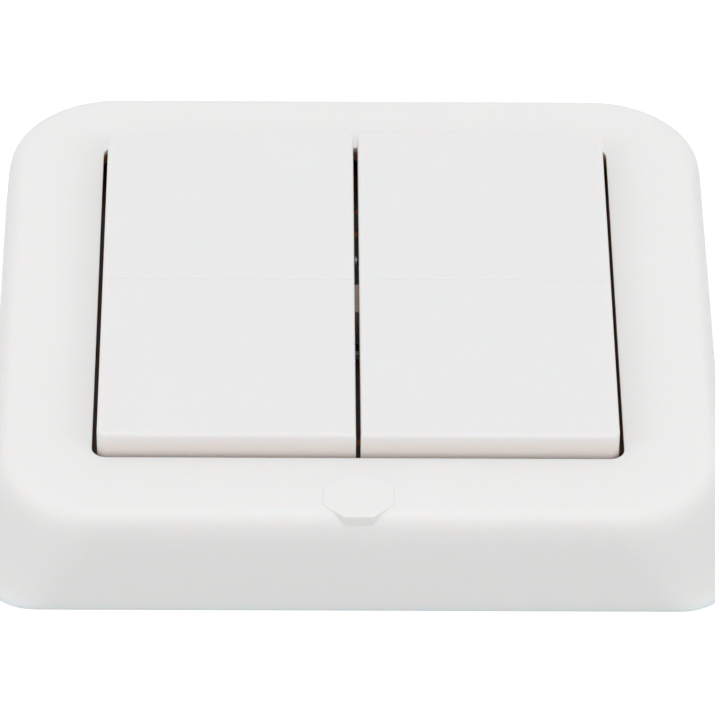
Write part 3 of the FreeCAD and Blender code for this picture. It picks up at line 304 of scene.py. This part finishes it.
finishes = {
    # uncoloured ABS, moulded: cream, with a warm tone where it shows in the gap between the rockers
    "creamMouldedAbs": dict(tones=("#f3dccd", "#f7e3d6"), toneMm=9.0, roughness=(0.42, 0.52), bumpMm=0.4,
                            depthMm=0.004, IOR=1.53),
    # grey ABS, moulded, matt: the side towards the wall is often a shade darker than the front
    "greyMouldedAbs": dict(tones=("#cfccc8", "#d6d3cf"), toneMm=9.0, roughness=(0.42, 0.52), bumpMm=0.4,
                           depthMm=0.004, IOR=1.53),
    # zinc plated steel, tumbled: greyish with soft streaks
    "zincPlatedSteel": dict(tones=("#c9cac6", "#b4b6b2"), toneMm=0.8, roughness=(0.24, 0.4), bumpMm=0.15,
                            depthMm=0.003, Metallic=1.0),
    # glass filled nylon, moulded black: dull, with fibres just under the skin
    "blackGlassNylon": dict(tones=("#141414", "#1d1d1e"), toneMm=0.35, roughness=(0.5, 0.65), bumpMm=0.12,
                            depthMm=0.004, IOR=1.53, stretch=(1, 4, 1)),
    # tinned steel sheet, stamped: bright, fine rolling lines one way
    "tinnedStampedSteel": dict(tones=("#d6d6d2", "#c2c2be"), toneMm=0.5, roughness=(0.2, 0.34), bumpMm=0.1,
                               depthMm=0.002, stretch=(1, 8, 1), Metallic=1.0),
    # spring stainless, rolled and bright
    "brightSpringSteel": dict(tones=("#c4c3c0", "#b0afab"), toneMm=0.6, roughness=(0.14, 0.26), bumpMm=0.1,
                              depthMm=0.001, stretch=(8, 1, 1), Metallic=1.0),
    # black acetal, turned smooth by wear on top
    "blackAcetal": dict(tones=("#121213", "#19191a"), toneMm=0.6, roughness=(0.3, 0.45), bumpMm=0.3,
                        depthMm=0.003, IOR=1.48),
    # epoxy moulding compound: charcoal, dusty matt
    "blackEpoxyMoulding": dict(tones=("#1d1e20", "#26272a"), toneMm=0.25, roughness=(0.5, 0.7), bumpMm=0.15,
                               depthMm=0.006, IOR=1.55),
    # nickel plated brass can, drawn: warm grey with a soft mirror
    "nickelDrawnCan": dict(tones=("#cdc8bd", "#bdb8ac"), toneMm=1.5, roughness=(0.2, 0.32), bumpMm=0.2,
                           depthMm=0.002, Metallic=1.0),
    # bare copper wire, drawn: slightly tarnished in patches
    "drawnCopperWire": dict(tones=("#d98f62", "#b86d45"), toneMm=2.0, roughness=(0.22, 0.36), bumpMm=0.1,
                            depthMm=0.002, Metallic=1.0),
    # etched copper foil under clear lacquer: brown-red, evenly dull
    "etchedCopper": dict(tones=("#b9754a", "#a8663e"), toneMm=1.2, roughness=(0.34, 0.46), bumpMm=0.15,
                         depthMm=0.003, Metallic=1.0),
    # tin-silver solder as it froze: bright, with slight dull frost
    "meltedSolder": dict(tones=("#d9d9d6", "#c6c6c3"), toneMm=0.5, roughness=(0.16, 0.34), bumpMm=0.2,
                         depthMm=0.01, Metallic=1.0),
    # yellow epoxy case of a solid capacitor
    "yellowMouldedResin": dict(tones=("#d9a521", "#cf9a1c"), toneMm=0.8, roughness=(0.4, 0.55), bumpMm=0.2,
                               depthMm=0.004, IOR=1.55),
    # alumina chip with black glaze
    "blackGlazedChip": dict(tones=("#17181a", "#202124"), toneMm=0.5, roughness=(0.25, 0.4), bumpMm=0.15,
                            depthMm=0.003, IOR=1.6),
    # fired ceramic, tan, slightly grainy
    "tanFiredCeramic": dict(tones=("#a98663", "#9a7856"), toneMm=0.3, roughness=(0.35, 0.5), bumpMm=0.12,
                            depthMm=0.004, IOR=1.6),
    # clear epoxy lens over a pale phosphor
    "clearLampLens": dict(tones=("#e9e4c8", "#f2eedb"), toneMm=0.4, roughness=(0.06, 0.14), bumpMm=0.3,
                          depthMm=0.001, IOR=1.5),
    # closed cell foam tape: off white, soft, full of tiny cells
    "whiteFoamTape": dict(tones=("#e4e2da", "#d8d5cb"), toneMm=0.6, roughness=(0.7, 0.9), bumpMm=0.35,
                          depthMm=0.05, IOR=1.45),
}
made = {name: makeMaterial(name, **look) for name, look in finishes.items()}

switches = ("left_lower", "left_upper", "right_lower", "right_upper")
wearers = {
    "creamMouldedAbs": ["base_tray"],
    "greyMouldedAbs": ["wall_plate"],
    "zincPlatedSteel": ["board_screws"],
    "blackGlassNylon": [f"switch_housing_{place}" for place in switches],
    "tinnedStampedSteel": [f"switch_cover_{place}" for place in switches] + ["switch_leads"],
    "brightSpringSteel": [f"contact_dome_{place}" for place in switches]
                         + ["negative_contact", "positive_contact"],
    "blackAcetal": [f"plunger_{place}" for place in switches],
    "blackEpoxyMoulding": ["controller_chip", "rf_transistor"],
    "nickelDrawnCan": ["crystal_can", "rf_resonator"],
    "drawnCopperWire": ["antenna_coil"],
    "yellowMouldedResin": ["storage_capacitor"],
    "blackGlazedChip": ["chip_resistors"],
    "tanFiredCeramic": ["chip_capacitors"],
    "clearLampLens": ["indicator_led"],
    "whiteFoamTape": ["adhesive_pads"],
}
for finish, names in wearers.items():
    for name in names:
        dress(name, made[finish])


# Brown phenolic paper board: dark, faintly banded by its paper layers, glossy from its resin

board = {
    "tones": ("#5e3a20", "#6f4728"), "bandMm": 1.6, "bandStretch": (1, 5, 1), "grainMm": 0.2,
    "roughness": (0.28, 0.42), "depthMm": 0.004, "ior": 1.55,
}


def makeBoardFinish():
    material, tree = startMaterial("brownPhenolicPaper")
    band = noiseAt(tree, board["bandMm"], stretch=board["bandStretch"])
    grain = noiseAt(tree, board["grainMm"], detail=4.0)
    shader = addNode(tree, "ShaderNodeBsdfPrincipled", {
        "Base Color": twoTone(tree, band.outputs[0], *board["tones"]),
        "Roughness": between(tree, grain.outputs[0], *board["roughness"]),
        "Normal": bumpFrom(tree, grain.outputs[0], board["depthMm"]), "IOR": board["ior"]})
    finishMaterial(tree, shader)
    return material


dress("circuit_board", makeBoardFinish())


# Stainless cell can: fine rings from turning on its faces

cell = {
    "tones": ("#d0d0cc", "#bdbdb8"), "mottleMm": 3.0, "ringMm": 0.5, "ringWobble": 0.6,
    "roughness": (0.2, 0.32), "depthMm": 0.004,
    "waveShare": 20,  # the wave texture draws its rings this much finer than its scale says
}


def makeCellFinish():
    material, tree = startMaterial("brushedCellSteel")
    low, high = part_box("coin_cell")
    middle = (low + high) / 2
    where = addNode(tree, "ShaderNodeTexCoord").outputs["Object"]
    centred = addNode(tree, "ShaderNodeMapping", {"Vector": where, "Location": tuple(-middle)})
    rings = addNode(tree, "ShaderNodeTexWave", {
        "Vector": centred.outputs[0], "Scale": patternSize(cell["ringMm"]) / cell["waveShare"],
        "Distortion": cell["ringWobble"], "Detail": 2.0}, wave_type="RINGS", rings_direction="Z")
    mottle = noiseAt(tree, cell["mottleMm"])
    shader = addNode(tree, "ShaderNodeBsdfPrincipled", {
        "Base Color": twoTone(tree, mottle.outputs[0], *cell["tones"]), "Metallic": 1.0,
        "Roughness": between(tree, rings.outputs[1], *cell["roughness"]),
        "Normal": bumpFrom(tree, rings.outputs[1], cell["depthMm"])})
    finishMaterial(tree, shader)
    return material


dress("coin_cell", makeCellFinish())
print("inner parts dressed")


# Solder and copper on the board

def newPiece(name, shape, body, material, smooth=True):  # a finished bmesh becomes a piece on a body
    data = bpy.data.meshes.new(name)
    shape.to_mesh(data)
    shape.free()
    data.materials.append(material)
    for face in data.polygons:
        face.use_smooth = smooth
    piece = bpy.data.objects.new(name, data)
    bpy.context.scene.collection.objects.link(piece)
    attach(piece, body)


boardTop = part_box("circuit_board")[1].z
solder = {
    "reachMm": 0.75, "riseMm": 0.42, "around": 20, "upwards": 12,  # each drop, and its facets
    "tabPitchMm": 4.5, "tabReachMm": 0.6,  # where the switches' tabs come out
    "looseMm": [(0.07, 12.6), (-6.5, 12.6), (6.5, 14.4)],  # joints of the wires that run under the board
}


def solderPlaces():  # one joint at each solder tab of the four switches, and the loose ones
    places = []
    for place in switches:
        low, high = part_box(f"switch_housing_{place}")
        middle = (low + high) / 2
        for edge, way in ((low.x, -1), (high.x, 1)):
            for rank in (-1, 1):
                up = middle.y + rank * solder["tabPitchMm"] / 2 * mm
                places.append((edge + way * solder["tabReachMm"] * mm, up))
    return places + [(x * mm, y * mm) for x, y in solder["looseMm"]]


def makeSolder():
    shape = bmesh.new()
    flat = Matrix.Diagonal((solder["reachMm"], solder["reachMm"], solder["riseMm"], 1)) @ Matrix.Scale(mm, 4)
    for x, y in solderPlaces():
        put = Matrix.Translation((x, y, boardTop)) @ flat
        bmesh.ops.create_uvsphere(shape, u_segments=solder["around"], v_segments=solder["upwards"],
                                  radius=1.0, matrix=put)
    everything = shape.verts[:] + shape.edges[:] + shape.faces[:]
    cut = bmesh.ops.bisect_plane(shape, geom=everything, plane_co=(0, 0, boardTop), plane_no=(0, 0, 1),
                                 clear_inner=True)
    rims = [part for part in cut["geom_cut"] if isinstance(part, bmesh.types.BMEdge)]
    bmesh.ops.edgenet_fill(shape, edges=rims)
    bmesh.ops.recalc_face_normals(shape, faces=shape.faces[:])
    newPiece("solderJoints", shape, "housing", made["meltedSolder"])


tracks = {
    "widthMm": 0.6, "thickMm": 0.05,
    "landFootMm": 0.54, "landTopMm": 0.48, "landThickMm": 0.07, "landSides": 24,  # radii and height
    "routesMm": [  # corners of each copper line on the upper side, across and up
        [(-6.5, 12.6), (0.07, 12.6), (6.5, 14.4)],
        [(-9.0, -16.5), (-2.0, -13.0), (-2.0, -7.0), (0.0, -5.3)],
        [(0.0, -5.3), (3.0, -8.0), (3.0, -12.0), (9.0, -16.5)],
        [(-6.0, 15.5), (0.0, 17.5), (6.0, 17.5), (9.0, 20.0)],
        [(-9.0, 20.5), (-3.0, 20.5), (2.0, 22.5), (9.0, 22.5)],
        [(-7.0, -20.5), (0.0, -20.5), (4.0, -22.5), (9.0, -22.5)],
    ],
}


def makeTracks():  # each straight of a line is a thin bar, and each corner a round land
    shape = bmesh.new()
    wide, thick = tracks["widthMm"], tracks["thickMm"]
    for route in tracks["routesMm"]:
        for start, end in zip(route, route[1:]):
            a, b = Vector((*start, 0)), Vector((*end, 0))
            turn = Matrix.Rotation(math.atan2(b.y - a.y, b.x - a.x), 4, "Z")
            size = Matrix.Diagonal(((b - a).length, wide, thick, 1))
            put = Matrix.Translation((*((a + b) / 2 * mm).xy, boardTop + thick * mm / 2))
            bmesh.ops.create_cube(shape, size=1.0, matrix=put @ turn @ Matrix.Scale(mm, 4) @ size)
        for corner in route:
            put = Matrix.Translation((corner[0] * mm, corner[1] * mm, boardTop + thick * mm / 2))
            bmesh.ops.create_cone(shape, cap_ends=True, segments=tracks["landSides"],
                                  radius1=tracks["landFootMm"] * mm, radius2=tracks["landTopMm"] * mm,
                                  depth=tracks["landThickMm"] * mm, matrix=put)
    newPiece("copperTracks", shape, "housing", made["etchedCopper"], smooth=False)


makeSolder()
makeTracks()
print("solder and copper laid")
